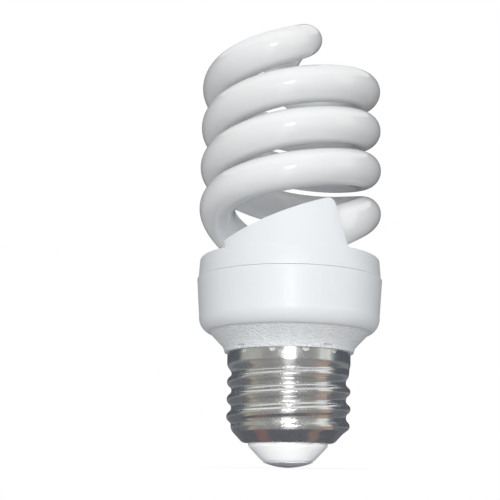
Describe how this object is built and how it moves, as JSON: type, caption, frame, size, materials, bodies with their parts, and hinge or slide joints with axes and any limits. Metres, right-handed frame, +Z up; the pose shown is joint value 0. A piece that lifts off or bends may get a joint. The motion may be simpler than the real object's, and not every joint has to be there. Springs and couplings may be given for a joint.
{
  "type": "spiral energy saving bulb",
  "caption": "Compact fluorescent lamp: a double-helix glass tube on a white hooded cover, a rounded ballast housing with a grained cone, and a screw base with a centre contact.",
  "frame": {"origin": "lowest point of the centre contact, on the lamp's axis", "axes": "+Z up along the lamp's axis from the contact to the crown of the tube, -Y towards the viewer of the picture, +X to the viewer's right"},
  "size_m": [0.04, 0.04, 0.098],
  "materials": {
    "tube_glass": "glossy, white phosphor coat inside, opaque",
    "white_plastic": "semi-gloss, grained on the cone",
    "nickel_plate": "bright nickel plate",
    "insulator": "glossy",
    "contact_metal": "dull",
    "cement": "matt",
    "board": "matt",
    "black_sleeve": "glossy",
    "ferrite": "matt",
    "bobbin_plastic": "matt",
    "copper": "enamelled",
    "film_case": "glossy",
    "disc_ceramic": "satin",
    "epoxy": "matt",
    "resistor_body": "satin",
    "tinned_wire": "bright"
  },
  "bodies": {
    "root": {"spiral_tube": "tube_glass", "tube_cover": "white_plastic", "tube_cement": "cement", "ballast_housing": "white_plastic", "screw_shell": "nickel_plate", "base_insulator": "insulator", "centre_contact": "contact_metal", "circuit_board": "board", "electrolytic_capacitor": "black_sleeve", "choke_core": "ferrite", "choke_bobbin": "bobbin_plastic", "choke_winding": "copper", "toroid_core": "ferrite", "toroid_winding": "copper", "resonant_capacitor": "film_case", "coupling_capacitor": "film_case", "start_capacitor": "disc_ceramic", "switching_transistors": "epoxy", "rectifier_diodes": "epoxy", "bias_resistors": "resistor_body", "trigger_diode": "resistor_body", "fusible_resistor": "resistor_body", "shell_lead": "tinned_wire", "filament_pins": "tinned_wire", "filament_leads": "tinned_wire"}
  },
  "joints": []
}
